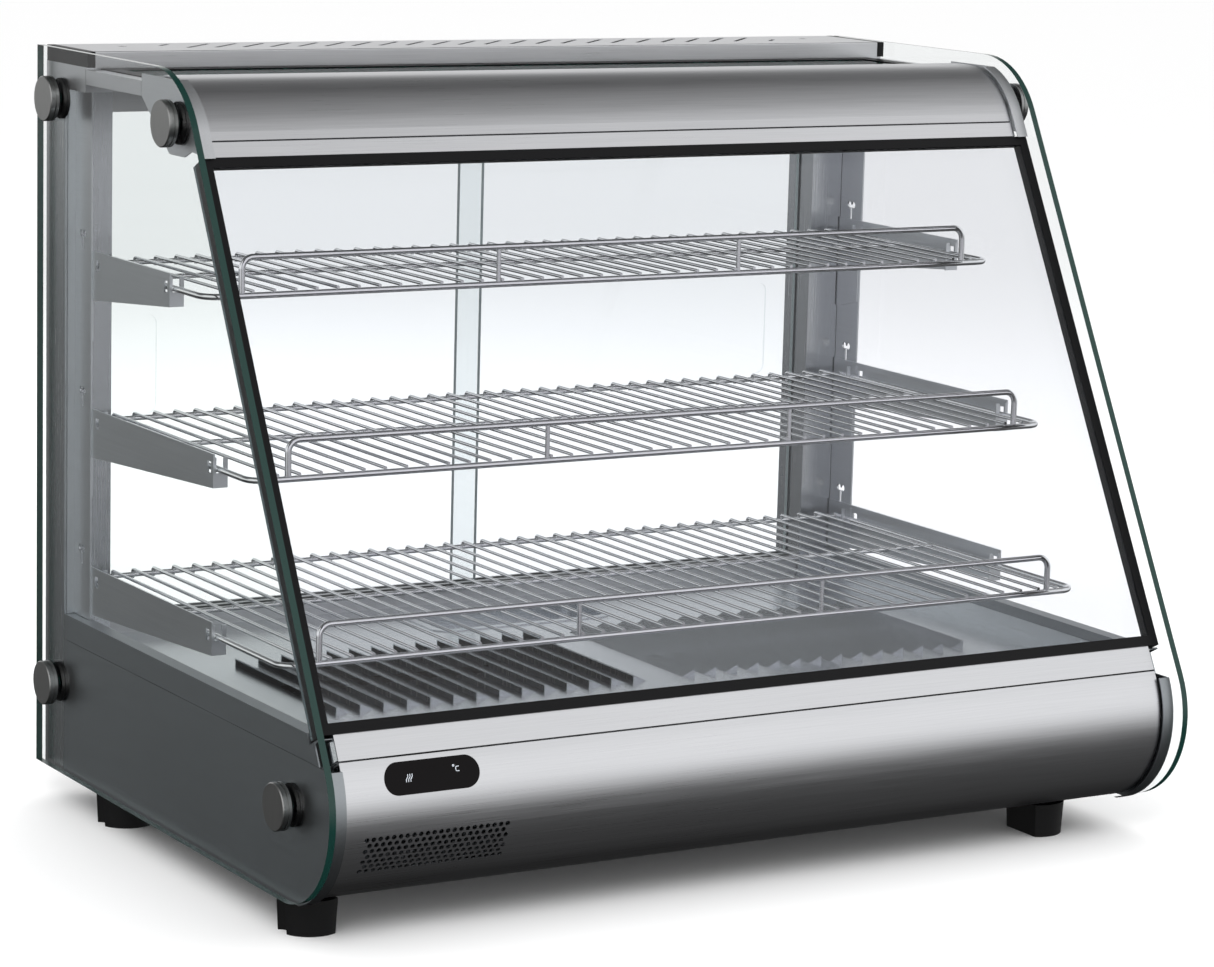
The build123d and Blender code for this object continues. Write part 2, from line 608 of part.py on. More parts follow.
def rear_base_panel():
    """Service panel below the doors, pierced for the switches, the dial and the cord gland."""
    panel = block(-POST_INNER + BUTT, POST_INNER - BUTT, PANEL_Y - SHEET, PANEL_Y, BASE_Z + SHEET + BUTT,
                  DECK_Z - SHEET - BUTT)
    low, high = PANEL_Y - SHEET - 1, PANEL_Y + 1
    for x in SWITCH_XS:
        panel -= block(x - SWITCH_W / 2, x + SWITCH_W / 2, low, high, SWITCH_LOW, SWITCH_HIGH)
    panel -= rod((DIAL_X, low, CONTROL_Z), (DIAL_X, high, CONTROL_Z), SHAFT_D + 2 * FIT)
    panel -= rod((GLAND_X, low, GLAND_Z), (GLAND_X, high, GLAND_Z), GLAND_D - 4)
    return panel


def rear_post():
    """Left rear post: a square tube from the underside up to the header, bored for the knob studs."""
    post = block(-FRAME_X, -POST_INNER, POST_FRONT, REAR, BASE_Z, POST_TOP)
    post -= block(-FRAME_X + POST_WALL, -POST_INNER - POST_WALL, POST_FRONT + POST_WALL, REAR - POST_WALL,
                  BASE_Z - 1, POST_TOP + 1)
    for hole in knob_holes(-FRAME_X - 1, -FRAME_X + POST_WALL + 0.1):
        post -= hole
    return post


# ---- feet and screws ----------------------------------------------------------------------------
def foot():
    """Moulded foot: flat on its inner side, with two round lobes outside and a screw well below."""
    plan = Circle(FOOT_R) - Pos(FOOT_FLAT + FOOT_R, 0) * Rectangle(2 * FOOT_R, 2 * FOOT_R)
    plan -= Pos(-FOOT_R, 0) * Circle(FOOT_NOTCH)
    body = extrude(Plane.XY.offset(BASE_Z) * plan, amount=-FOOT_HEIGHT, taper=3)
    middle = Pos(-FOOT_SCREW_OUT, 0, 0)
    body -= middle * extrude(Circle(7), amount=FOOT_HEIGHT - 6)
    return body - middle * extrude(Circle(FOOT_SCREW_D / 2), amount=FOOT_HEIGHT + 1)


def feet():
    shape = foot()
    return [Pos(x, y, 0) * (shape if side > 0 else mirrored(shape)) for x, y, side in FOOT_SITES]


def screw(length, head_d, head_h):
    """Pan-head screw pointing down from the origin, with a cross slot."""
    head = fillet(extrude(Circle(head_d / 2), amount=head_h).edges().sort_by(Axis.Z)[-1], head_h * 0.45)
    cross = block(-head_d / 3, head_d / 3, -0.5, 0.5, head_h * 0.5, head_h + 1)
    cross += block(-0.5, 0.5, -head_d / 3, head_d / 3, head_h * 0.5, head_h + 1)
    return head - cross + extrude(Circle(FOOT_SCREW_D / 2 - 0.5), amount=-length)


def screws():
    """Screws through the feet, and those that hold the rear cover."""
    made = []
    foot_screw = Rot(180, 0, 0) * screw(10, 9, 3)
    for x, y, side in FOOT_SITES:
        made.append(Pos(x - FOOT_SCREW_OUT * side, y, FOOT_HEIGHT - 6) * foot_screw)
    cover_screw = screw(8, 7, 1.6)
    return made + both(Pos(COVER_SCREW_X, COVER_SCREW_Y, HEIGHT - 1.6) * cover_screw)


# ---- top ----------------------------------------------------------------------------------------
TOP_GLASS_TOP = HEIGHT - COVER_H - 2.0
TOP_GLASS_BACK = COVER_Y + 4
BAR_X = FRAME_X - BAR_W


def top_glass():
    pane_z = TOP_GLASS_TOP - TOP_GLASS_T
    return block(-BAR_X + BUTT, BAR_X - BUTT, COVER_END - 8, TOP_GLASS_BACK, pane_z, TOP_GLASS_TOP)


def top_glass_border():
    """Black edge seal laid round the top glass."""
    x = BAR_X - BUTT
    y0, y1 = COVER_END + 0.2, TOP_GLASS_BACK
    z0, z1 = TOP_GLASS_TOP, TOP_GLASS_TOP + TOP_BORDER_T
    ring = block(-x, x, y0, y1, z0, z1)
    wide = TOP_BORDER_W
    return ring - block(-x + wide, x - wide, COVER_END + wide, y1 - wide, z0 - 1, z1 + 1)


def top_side_bars():
    """Box bars from the cheeks back to the header, each with a ledge under the top glass."""
    low = TOP_GLASS_TOP - BAR_H
    bar = block(BAR_X, FRAME_X, CHEEK_END + BUTT, COVER_Y + 4 - BUTT, low, TOP_GLASS_TOP)
    bar -= block(BAR_X + SHEET, FRAME_X - SHEET, CHEEK_END, COVER_Y + 5, low + SHEET, TOP_GLASS_TOP - SHEET)
    ledge_z = TOP_GLASS_TOP - TOP_GLASS_T
    bar += block(BAR_X - 6, BAR_X + 0.5, CHEEK_END + BUTT, COVER_Y + 4 - BUTT, ledge_z - SHEET, ledge_z)
    return both(bar)


def rear_header():
    """Channel across the posts that carries the upper door track and the rear cover."""
    low, high = POST_TOP, HEIGHT - COVER_H
    front = COVER_Y + 4 + BUTT
    header = block(-FRAME_X, FRAME_X, front, REAR, low, high)
    side = FRAME_X - SHEET
    return header - block(-side, side, front + SHEET, REAR - SHEET, low + SHEET, high + 1)


def rear_top_cover():
    """Folded cover over the header, with slanted air slots along its top."""
    side = FRAME_X - CAP_W - BUTT
    cover = block(-side, side, COVER_Y, REAR, HEIGHT - COVER_H, HEIGHT)
    cover -= block(-side - 1, side + 1, COVER_Y + SHEET, REAR - SHEET, HEIGHT - COVER_H - 1, HEIGHT - SHEET)
    cover = fillet(cover.edges().filter_by(Axis.X).group_by(Axis.Z)[-1], 1.0)
    middle = COVER_Y + COVER_DEPTH * 0.6
    shape = Rot(0, 0, SLOT_ANGLE) * SlotOverall(SLOT_LENGTH, SLOT_W)
    short = Rot(0, 0, SLOT_ANGLE) * SlotOverall(SLOT_LENGTH * 0.4, SLOT_W)
    cut = Plane.XY.offset(HEIGHT - SHEET - 1)
    half = (SLOT_COUNT - 1) / 2 * SLOT_PITCH
    slots = [extrude(cut * Pos(i * SLOT_PITCH - half, middle) * shape, amount=5) for i in range(SLOT_COUNT)]
    for side in (-1, 1):
        place = Pos(side * (half + SLOT_PITCH), middle - side * SLOT_LENGTH * 0.3 * sin(radians(SLOT_ANGLE)))
        slots.append(extrude(cut * place * short, amount=5))
    holes = both(Pos(COVER_SCREW_X, COVER_SCREW_Y, HEIGHT - 3) * Cylinder(2.2, 12))
    sinks = both(Pos(COVER_SCREW_X, COVER_SCREW_Y, HEIGHT - 0.8) * Cylinder(4.2, 1.7))
    return cover - slots - holes - sinks


def rear_cover_end_caps():
    cap = block(FRAME_X - CAP_W, FRAME_X, COVER_Y - 1, REAR, HEIGHT - COVER_H, HEIGHT)
    return both(fillet(cap.edges().filter_by(Axis.Z), 1.2))


def lamp_housing():
    """Lamp channel fixed behind the upper cover, open below."""
    x = PANEL_X - 40
    housing = block(-x, x, LAMP_Y, LAMP_Y + 30, HIGH_SEAM_Z + 20, HIGH_SEAM_Z + 32)
    return housing - block(-x + 1, x - 1, LAMP_Y + 1, LAMP_Y + 29, HIGH_SEAM_Z + 19, HIGH_SEAM_Z + 31)


LAMP_Y = slope_y(HIGH_SEAM_Z, PANEL_INSET) + 45


# ---- rear doors ---------------------------------------------------------------------------------
DOOR_SIDE = POST_INNER - DOOR_CLEAR
INNER_DOOR_Y = REAR - 34.0
OUTER_DOOR_Y = INNER_DOOR_Y + DOOR_T + DOOR_GAP
DOOR_LOW = DECK_Z + TRACK_WALL + 0.5
DOOR_HIGH = POST_TOP - 8.0
TRACK_Y0 = INNER_DOOR_Y - DOOR_CLEAR - 3
TRACK_Y1 = OUTER_DOOR_Y + DOOR_T + DOOR_CLEAR + 3
GROOVE_Z = (DOOR_LOW + DOOR_HIGH) / 2


def door_track(z0, z1, groove_z0, groove_z1):
    track = block(-POST_INNER + BUTT, POST_INNER - BUTT, TRACK_Y0, TRACK_Y1, z0, z1)
    for y in (INNER_DOOR_Y, OUTER_DOOR_Y):
        track -= block(-POST_INNER, POST_INNER, y - DOOR_CLEAR, y + DOOR_T + DOOR_CLEAR, groove_z0, groove_z1)
    return track


def door_track_bottom():
    return door_track(DECK_Z, DECK_Z + TRACK_H, DECK_Z + TRACK_WALL, DECK_Z + TRACK_H + 1)


def door_track_top():
    low = POST_TOP - TRACK_H - 6
    return door_track(low, POST_TOP, low - 1, POST_TOP - TRACK_WALL)


def rear_door(y, x_outer, x_inner):
    """Sliding pane with rounded corners and a shallow ground groove for the fingertips."""
    x0, x1 = sorted([x_outer, x_inner])
    pane = block(x0, x1, y, y + DOOR_T, DOOR_LOW, DOOR_HIGH)
    pane = fillet(pane.edges().filter_by(Axis.Y), 3)
    x = x_outer * (1 - GROOVE_IN / abs(x_outer))
    z0 = GROOVE_Z - GROOVE_LENGTH / 2
    groove = block(x - GROOVE_W / 2, x + GROOVE_W / 2, y + DOOR_T - GROOVE_DEPTH, y + DOOR_T + 1,
                   z0, z0 + GROOVE_LENGTH)
    return pane - fillet(groove.edges().filter_by(Axis.Y), GROOVE_W / 2 - 0.01)


# ---- shelves ------------------------------------------------------------------------------------
UPRIGHT_LOW = RAIL_TOP + BUTT
ROD_X = SHELF_X - ROD_D / 2
WIRE_COUNT = 2 * int((ROD_X - WIRE_MARGIN) / WIRE_PITCH) + 1
SKIM = 0.02                               # gap between wires that are spot-welded to each other
RAIL_X = WIRE_PITCH * (int((ROD_X - RAIL_IN) / WIRE_PITCH) + 0.5)     # midway between two wires
RAIL_POST_X = WIRE_PITCH * round(RAIL_X / 3 / WIRE_PITCH) + (WIRE_D + RAIL_POST_D) / 2 + SKIM


def shelf_upright():
    """Left shelf upright: polished plate with a turned-out edge and a keyhole over each bracket."""
    y0 = UPRIGHT_Y - UPRIGHT_W
    plate = block(-UPRIGHT_X, -UPRIGHT_X + BRACKET_T, y0, UPRIGHT_Y, UPRIGHT_LOW, POST_TOP - BUTT)
    fold = UPRIGHT_Y - BRACKET_T
    plate += block(-FRAME_X + SHEET + 1, -UPRIGHT_X, fold, UPRIGHT_Y, UPRIGHT_LOW, POST_TOP - BUTT)
    for level in SHELF_LEVELS.values():
        z = BASE_Z + level + BRACKET_ABOVE + KEYHOLE_UP
        y = UPRIGHT_Y - UPRIGHT_W / 2
        plate -= rod((-UPRIGHT_X - 1, y - 3.5, z), (-UPRIGHT_X + 2, y - 3.5, z), 6.5)
        plate -= rod((-UPRIGHT_X - 1, y + 3.5, z), (-UPRIGHT_X + 2, y + 3.5, z), 6.5)
        plate -= block(-UPRIGHT_X - 1, -UPRIGHT_X + 2, y - 1.5, y + 1.5, z - 14, z)
    return plate


def shelf_bracket(name):
    """Left bracket: tapering arm with a wing over the upright and a notched tab at each end."""
    rod_z = BASE_Z + SHELF_LEVELS[name]
    top = rod_z + BRACKET_ABOVE
    back = UPRIGHT_Y - 1
    wing = back - UPRIGHT_W + 2
    front = -REAR + SHELF_FRONT[name] + BRACKET_BEHIND[name]
    low = max(top - BRACKET_WING_H, UPRIGHT_LOW + 1)
    wing_low = min(low + 8, top - BRACKET_REAR_H)
    corners = [(back, top), (front, top), (front, top - BRACKET_FRONT_H), (wing, top - BRACKET_REAR_H),
               (wing, wing_low - 0.5), (back - 4, low), (back, low)]
    face = make_face(Polyline(*corners, close=True))
    for y in (front + 8, wing - 12):
        face -= Pos(y, top - 12) * Rectangle(7, 10)
    x0 = -BRACKET_X
    arm = along_x(face, x0, x0 + BRACKET_T)
    for y in (front + 46, wing - 34):
        arm += rod((x0 + BRACKET_T - 0.1, y, top - 14), (x0 + BRACKET_T + 0.8, y, top - 14), 5)
    notch_half = ROD_D / 2 + 0.6
    for y in (front, wing - 6):
        tab_x = x0 + BRACKET_T - 0.1
        tab = block(tab_x, tab_x + 12, y, y + BRACKET_T, top - BRACKET_FRONT_H, top - 3)
        tab -= block(-ROD_X - notch_half, -ROD_X + notch_half, y - 1, y + 3, rod_z - ROD_D / 2 - 0.3, top)
        arm += tab
    return arm


def shelf_grid(name):
    """Wire shelf: U-shaped front rod, cross rods and front-to-back wires hooked over the rear rod."""
    z = BASE_Z + SHELF_LEVELS[name]
    front = -REAR + SHELF_FRONT[name]
    path = [(-ROD_X, SHELF_BACK, z), (-ROD_X, front, z), (ROD_X, front, z), (ROD_X, SHELF_BACK, z)]
    pieces = [bent_rod(path, ROD_BEND_R, ROD_D)]
    inner = ROD_X - ROD_D / 2 - SKIM
    cross = ROD_D - 1
    for y in (SHELF_BACK - cross / 2, front + 0.57 * (SHELF_BACK - front)):
        pieces.append(rod((-inner, y, z), (inner, y, z), cross))
    wire_z = z + ROD_D / 2 + WIRE_D / 2 + SKIM
    hook_y = SHELF_BACK + WIRE_D / 2 + SKIM
    for i in range(WIRE_COUNT):
        x = (i - (WIRE_COUNT - 1) / 2) * WIRE_PITCH
        run = rod((x, front - ROD_D * 0.3, wire_z), (x, hook_y, wire_z), WIRE_D)
        pieces.append(run + rod((x, hook_y, wire_z), (x, hook_y, wire_z - 8), WIRE_D))
    return pieces


def guard_rail(name):
    """Rail along the front of a shelf: a bar with bent-down ends, and two thin posts between."""
    z = BASE_Z + SHELF_LEVELS[name] + ROD_D / 2 + SKIM
    y = -REAR + SHELF_FRONT[name]
    top = z + RAIL_HEIGHT
    pieces = [bent_rod([(-RAIL_X, y, z), (-RAIL_X, y, top), (RAIL_X, y, top), (RAIL_X, y, z)], 9, ROD_D)]
    post_top = top - ROD_D / 2 - SKIM
    pieces += [rod((x, y, z), (x, y, post_top), RAIL_POST_D) for x in (-RAIL_POST_X, RAIL_POST_X)]
    return pieces


# ---- rear controls ------------------------------------------------------------------------------
BEZEL_T = 2.0
PIVOT_Y = PANEL_Y - 3
PIN_D = 2.0
PIN_OUT = 1.4                # rocker pins reach this far past its sides
ROCK_TILT = 8.0              # lean of a rocker at rest, degrees


def switch_bezel():
    """Black surround of the two rocker switches, with their bodies behind the panel."""
    x0, x1 = SWITCH_XS[0] - SWITCH_W / 2, SWITCH_XS[1] + SWITCH_W / 2
    plate = block(x0 - 4, x1 + 4, PANEL_Y, PANEL_Y + BEZEL_T, SWITCH_LOW - 4, SWITCH_HIGH + 4)
    plate = fillet(plate.edges().filter_by(Axis.Y), 3)
    for x in SWITCH_XS:
        half = SWITCH_W / 2
        plate += block(x - half, x + half, PANEL_Y - 20, PANEL_Y + 0.5, SWITCH_LOW, SWITCH_HIGH)
        low, high = SWITCH_LOW + 1.5, SWITCH_HIGH - 1.5
        plate -= block(x - half + 2, x + half - 2, PANEL_Y - 12, PANEL_Y + 5, low, high)
        reach = half - 2.4 + PIN_OUT + 0.2
        plate -= rod((x - reach, PIVOT_Y, CONTROL_Z), (x + reach, PIVOT_Y, CONTROL_Z), PIN_D + 2 * FIT)
    return plate


def rocker(x):
    """Rocker with two sloping halves, pressed to its off side, on a pin through the bezel walls."""
    half_w = SWITCH_W / 2 - 2.4
    half_h = SWITCH_H / 2 - 2.6
    corners = [(-4, -4), (5, -half_h), (4.2, 0), (5, half_h), (-4, 4)]
    face = make_face(Polyline(*corners, close=True))
    body = Rot(-ROCK_TILT, 0, 0) * along_x(face, -half_w, half_w)
    body += rod((-half_w - PIN_OUT, 0, 0), (half_w + PIN_OUT, 0, 0), PIN_D)
    return Pos(x, PIVOT_Y, CONTROL_Z) * body


def thermostat_dial():
    """Ribbed control dial with a pointer groove, on its own short shaft."""
    y = PANEL_Y + 1
    dial = rod((DIAL_X, y, CONTROL_Z), (DIAL_X, y + DIAL_T, CONTROL_Z), DIAL_D)
    dial = chamfer(dial.edges().group_by(Axis.Y)[-1], 1.0)
    for i in range(12):
        angle = radians(30 * i + 15)
        x, z = DIAL_X + DIAL_D / 2 * cos(angle), CONTROL_Z + DIAL_D / 2 * sin(angle)
        dial -= rod((x, y + 1.5, z), (x, y + DIAL_T + 1, z), 3)
    dial -= block(DIAL_X - 0.8, DIAL_X + 0.8, y + DIAL_T - 0.8, y + DIAL_T + 1, CONTROL_Z + 4, CONTROL_Z + 14)
    return dial + rod((DIAL_X, PANEL_Y - 12, CONTROL_Z), (DIAL_X, y, CONTROL_Z), SHAFT_D)


def cable_gland():
    """Cord entry: flange, hexagon body and a bore for the supply cord."""
    gland = rod((GLAND_X, PANEL_Y - 6, GLAND_Z), (GLAND_X, PANEL_Y + 2, GLAND_Z), GLAND_D - 4.2)
    gland += rod((GLAND_X, PANEL_Y, GLAND_Z), (GLAND_X, PANEL_Y + 3, GLAND_Z), GLAND_D + 4)
    hexagon = Plane(origin=(GLAND_X, PANEL_Y + 3, GLAND_Z), z_dir=(0, 1, 0)) * RegularPolygon(GLAND_D / 2, 6)
    gland += extrude(hexagon, amount=6)
    return gland - rod((GLAND_X, PANEL_Y - 7, GLAND_Z), (GLAND_X, PANEL_Y + 10, GLAND_Z), CORD_BORE)


# ---- heater, fan and wiring ---------------------------------------------------------------------
FAN_Z = BASE_Z + SHEET + MOTOR_H + 4
FAN_H = 18.0
FAN_Y = 20.0


def fan_motor():
    """Motor can on the base pan, with its shaft up."""
    can = Pos(0, FAN_Y, BASE_Z + SHEET) * extrude(Circle(MOTOR_D / 2), amount=MOTOR_H)
    can = fillet(can.edges().group_by(Axis.Z)[-1], 3)
    return can + Pos(0, FAN_Y, BASE_Z + SHEET) * extrude(Circle(SHAFT_D / 2), amount=MOTOR_H + FAN_H)


def fan_rotor():
    """Hub with pitched blades."""
    hub = extrude(Circle(13), amount=FAN_H)
    blade = Pos(37, 0, FAN_H / 2) * Rot(32, 0, 0) * Box(50, 26, 1.4)
    blade = blade & extrude(Circle(FAN_R), amount=FAN_H)
    for i in range(FAN_BLADES):
        hub += Rot(0, 0, 360 / FAN_BLADES * i) * blade
    hub -= extrude(Circle(SHAFT_D / 2 + FIT), amount=FAN_H)
    return Pos(0, FAN_Y, FAN_Z) * hub


def heating_elements():
    """Sheathed heating rods in long loops under the two louvre groups."""
    z = DECK_Z - 16
    loops = []
    for side in (-1, 1):
        near, far = side * 90.0, side * (LOUVRE_INNER + (LOUVRE_COUNT - 1) * LOUVRE_PITCH)
        y0, y1 = LOUVRE_Y + LOUVRE_LENGTH * 0.2, LOUVRE_Y + LOUVRE_LENGTH * 0.8
        bend = min(30.0, (y1 - y0) * 0.4)
        loops.append(bent_rod([(near, y0, z), (far, y0, z), (far, y1, z), (near, y1, z)], bend, ELEMENT_D))
    return loops


# ---- write every node ---------------------------------------------------------------------------
os.makedirs("parts", exist_ok=True)

save("base_pan", base_pan())
left_side = base_side()
save("base_side_left", left_side)
save("base_side_right", mirrored(left_side))
save("lower_front_panel", lower_front_panel())
save("lower_trim_strip", lower_trim_strip())
save("display_window", display_window())
save("deck_panel", deck_panel())
left_rail = deck_rail()
save("deck_rail_left", left_rail)
save("deck_rail_right", mirrored(left_rail))
save("rear_base_panel", rear_base_panel())
left_post = rear_post()
save("rear_post_left", left_post)
save("rear_post_right", mirrored(left_post))
left_upright = shelf_upright()
save("shelf_upright_left", left_upright)
save("shelf_upright_right", mirrored(left_upright))
left_glass = side_glass()
save("side_glass_left", left_glass)
save("side_glass_right", mirrored(left_glass))
save("glass_knobs", glass_knobs())
save("knob_washers", knob_washers())
save("knob_studs", knob_studs())
save("front_glass_outer", front_pane(PANEL_INSET))
save("front_glass_inner", front_pane(PANEL_INSET + PANE_T + PANE_GAP))
save("front_glass_spacer", unit_ring(SPACER_W, PANEL_INSET + PANE_T, PANE_GAP))
save("front_glass_seal", front_glass_seal())
save("upper_front_cover", upper_front_cover())
left_cheek = upper_cheek()
save("upper_cheek_left", left_cheek)
save("upper_cheek_right", mirrored(left_cheek))
save("upper_trim_strip", upper_trim_strip())
save("top_glass", top_glass())
save("top_glass_border", top_glass_border())
save("top_side_bars", top_side_bars())
save("rear_header", rear_header())
save("rear_top_cover", rear_top_cover())
save("rear_cover_end_caps", rear_cover_end_caps())
save("lamp_housing", lamp_housing())
save("door_track_top", door_track_top())
save("door_track_bottom", door_track_bottom())
save("rear_door_left", rear_door(INNER_DOOR_Y, -DOOR_SIDE, DOOR_LAP))
save("rear_door_right", rear_door(OUTER_DOOR_Y, DOOR_SIDE, -DOOR_LAP))
for level in SHELF_LEVELS:
    save(f"shelf_brackets_{level}", both(shelf_bracket(level)))
    save(f"shelf_grid_{level}", shelf_grid(level))
    save(f"shelf_rail_{level}", guard_rail(level))
save("water_tray", water_tray())
save("feet", feet())
save("screws", screws())
save("switch_bezel", switch_bezel())
save("power_rocker", rocker(SWITCH_XS[0]))
save("lamp_rocker", rocker(SWITCH_XS[1]))
save("thermostat_dial", thermostat_dial())
save("cable_gland", cable_gland())
save("fan_motor", fan_motor())
save("fan_rotor", fan_rotor())
save("heating_elements", heating_elements())
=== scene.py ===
import math

import bpy
from mathutils import Matrix, Vector


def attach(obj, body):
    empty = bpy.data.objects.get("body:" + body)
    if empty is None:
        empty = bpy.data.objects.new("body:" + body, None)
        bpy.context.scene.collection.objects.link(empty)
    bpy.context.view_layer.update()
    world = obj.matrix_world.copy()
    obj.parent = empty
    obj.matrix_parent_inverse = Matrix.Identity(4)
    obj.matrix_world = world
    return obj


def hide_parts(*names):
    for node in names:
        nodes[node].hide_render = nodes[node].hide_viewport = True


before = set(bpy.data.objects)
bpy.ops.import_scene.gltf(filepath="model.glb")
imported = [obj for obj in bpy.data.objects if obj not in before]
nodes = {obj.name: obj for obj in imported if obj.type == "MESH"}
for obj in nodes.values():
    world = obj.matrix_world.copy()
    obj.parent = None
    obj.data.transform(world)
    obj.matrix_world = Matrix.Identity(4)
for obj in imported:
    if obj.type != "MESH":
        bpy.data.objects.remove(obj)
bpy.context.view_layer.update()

MM = 0.001

# ---- sizes that the visible pieces share, in millimetres
SLOPE = math.radians(28.2)               # lean of the glass front
ROD_X = 402.75                           # side rods of a shelf, from the middle
ROD_D = 5.5
ROD_BEND = 16.0
CROSS_D = 4.5                            # the two cross rods under the wires
CROSS_SHARE = 0.57                       # place of the front one, from the front rod to the back end
WELD = 0.2                               # how far a welded rod sinks into the next
WIRE_D = 3.0
WIRE_PITCH = 20.0
WIRE_COUNT = 39
WIRE_BEND = 2.4
WIRE_TAIL = 8.0                          # length of the turned-down end of a wire
SHELF_BACK = 238.0                       # back end of every shelf
# Middle of each shelf's front rod: its y and its height.
SHELVES = {"upper": (-5.0, 496.0), "middle": (-98.0, 355.0), "lower": (-160.0, 211.5)}
RAIL_X = 370.0                           # legs of the guard rail, from the middle
RAIL_POST_X = 123.52
RAIL_HEIGHT = 32.77                      # the rail above the front rod, middle to middle
RAIL_BEND = 10.0
RAIL_POST_D = 4.0
HEAT_MARK = (-349.3, -282.6, 141.7)      # middles of the two marks on the display window
DEGREE_MARK = (-306.0, -281.4, 145.1)
HEAT_LEAN = math.radians(19.1)           # lean of the display window there
DEGREE_LEAN = math.radians(21.8)
MARK_D = 0.7
GROOVE_REACH = 0.012                     # half the width of a door's finger groove, with slack, in metres
STREAK = 90                              # length of a brushing scratch, in scratch widths


# ---- small helpers ------------------------------------------------------------------------------
def linear(hex_colour):
    """An sRGB hex colour as linear RGBA."""
    parts = [int(hex_colour[i:i + 2], 16) / 255 for i in (1, 3, 5)]
    parts = [c / 12.92 if c <= 0.04045 else ((c + 0.055) / 1.055) ** 2.4 for c in parts]
    return (*parts, 1.0)


def add(tree, kind, settings=None, **sockets):
    """A shader node with its settings, and its sockets set or linked. s0, s1 and so on go by number."""
    node = tree.nodes.new(kind)
    for key, value in (settings or {}).items():
        setattr(node, key, value)
    for key, value in sockets.items():
        numbered = key[0] == "s" and key[1:].isdigit()
        socket = node.inputs[int(key[1:])] if numbered else node.inputs[key.replace("_", " ")]
        if isinstance(value, bpy.types.NodeSocket):
            tree.links.new(value, socket)
        else:
            socket.default_value = value
    return node


def new_material(name):
    material = bpy.data.materials.new(name)
    material.use_nodes = True
    material.node_tree.nodes.clear()
    return material, material.node_tree


def finish_material(tree, surface):
    add(tree, "ShaderNodeOutputMaterial", Surface=surface)


# ---- materials ----------------------------------------------------------------------------------
def brushed(name, colour, dark, rough, grain, along="X", lift=0.04):
    """Brushed metal: scratches along one direction, drawn coarser than real ones so that they show."""
    material, tree = new_material(name)
    place = add(tree, "ShaderNodeTexCoord").outputs["Object"]
    fine = 1000 / grain
    scale = [fine, fine, fine]
    scale["XYZ".index(along)] = fine / STREAK
    stretched = add(tree, "ShaderNodeMapping", Vector=place, Scale=scale).outputs[0]
    scratches = add(tree, "ShaderNodeTexNoise", Vector=stretched, Scale=1.0, Detail=3.0, Roughness=0.6)
    lines = scratches.outputs["Fac"]
    cloud = add(tree, "ShaderNodeTexNoise", Vector=place, Scale=4.0, Detail=2.0).outputs["Fac"]
    tone = add(tree, "ShaderNodeMapRange", Value=lines, From_Min=0.3, From_Max=0.7).outputs[0]
    colours = add(tree, "ShaderNodeMix", {"data_type": "RGBA"}, Factor=tone)
    colours.inputs["A"].default_value = linear(dark)
    colours.inputs["B"].default_value = linear(colour)
    matt = add(tree, "ShaderNodeMapRange", Value=lines, From_Min=0.3, From_Max=0.7,
               To_Min=rough - lift * 0.8, To_Max=rough + lift * 0.8).outputs[0]
    uneven = add(tree, "ShaderNodeMath", {"operation": "MULTIPLY_ADD"}, s0=cloud, s1=0.06, s2=matt).outputs[0]
    bump = add(tree, "ShaderNodeBump", Strength=lift, Distance=0.0004, Height=lines).outputs[0]
    body = add(tree, "ShaderNodeBsdfPrincipled", Base_Color=colours.outputs["Result"], Metallic=1.0,
               Roughness=uneven, Normal=bump)
    finish_material(tree, body.outputs[0])
    return material


def clear_pane(name, face, tint, edge, shine=1.0, groove=0.0):
    """Toughened float glass: clear through its faces, deep green where the cut edge is seen.

    A ground groove whose middle is groove metres from the middle of the case is polished clear.
    """
    material, tree = new_material(name)
    surface = add(tree, "ShaderNodeNewGeometry")
    normal = surface.outputs["Normal"]
    facing = add(tree, "ShaderNodeVectorMath", {"operation": "DOT_PRODUCT"}, s0=normal, s1=face)
    flat = add(tree, "ShaderNodeMath", {"operation": "ABSOLUTE"}, s0=facing.outputs["Value"]).outputs[0]
    is_edge = add(tree, "ShaderNodeMath", {"operation": "LESS_THAN"}, s0=flat, s1=0.7).outputs[0]
    if groove:
        place = add(tree, "ShaderNodeTexCoord").outputs["Object"]
        across = add(tree, "ShaderNodeSeparateXYZ", Vector=place).outputs["X"]
        across = add(tree, "ShaderNodeMath", {"operation": "ABSOLUTE"}, s0=across).outputs[0]
        polished = add(tree, "ShaderNodeMath", {"operation": "COMPARE"}, s0=across, s1=groove,
                       s2=GROOVE_REACH)
        clear = polished.outputs[0]
        ground = add(tree, "ShaderNodeMath", {"operation": "SUBTRACT"}, s0=1.0, s1=clear).outputs[0]
        is_edge = add(tree, "ShaderNodeMath", {"operation": "MULTIPLY"}, s0=is_edge, s1=ground).outputs[0]
    through = add(tree, "ShaderNodeBsdfTransparent", Color=linear(tint)).outputs[0]
    mirror = add(tree, "ShaderNodeBsdfGlossy", Color=(1, 1, 1, 1), Roughness=0.0).outputs[0]
    share = add(tree, "ShaderNodeFresnel", IOR=1.45).outputs[0]
    inside = surface.outputs["Backfacing"]
    outside = add(tree, "ShaderNodeMath", {"operation": "SUBTRACT"}, s0=1.0, s1=inside).outputs[0]
    share = add(tree, "ShaderNodeMath", {"operation": "MULTIPLY"}, s0=share, s1=outside).outputs[0]
    share = add(tree, "ShaderNodeMath", {"operation": "MULTIPLY"}, s0=share, s1=shine).outputs[0]
    pane = add(tree, "ShaderNodeMixShader", s0=share, s1=through, s2=mirror).outputs[0]
    rim = add(tree, "ShaderNodeBsdfPrincipled", Base_Color=linear(edge), Roughness=0.12, IOR=1.5).outputs[0]
    finish_material(tree, add(tree, "ShaderNodeMixShader", s0=is_edge, s1=pane, s2=rim).outputs[0])
    return material


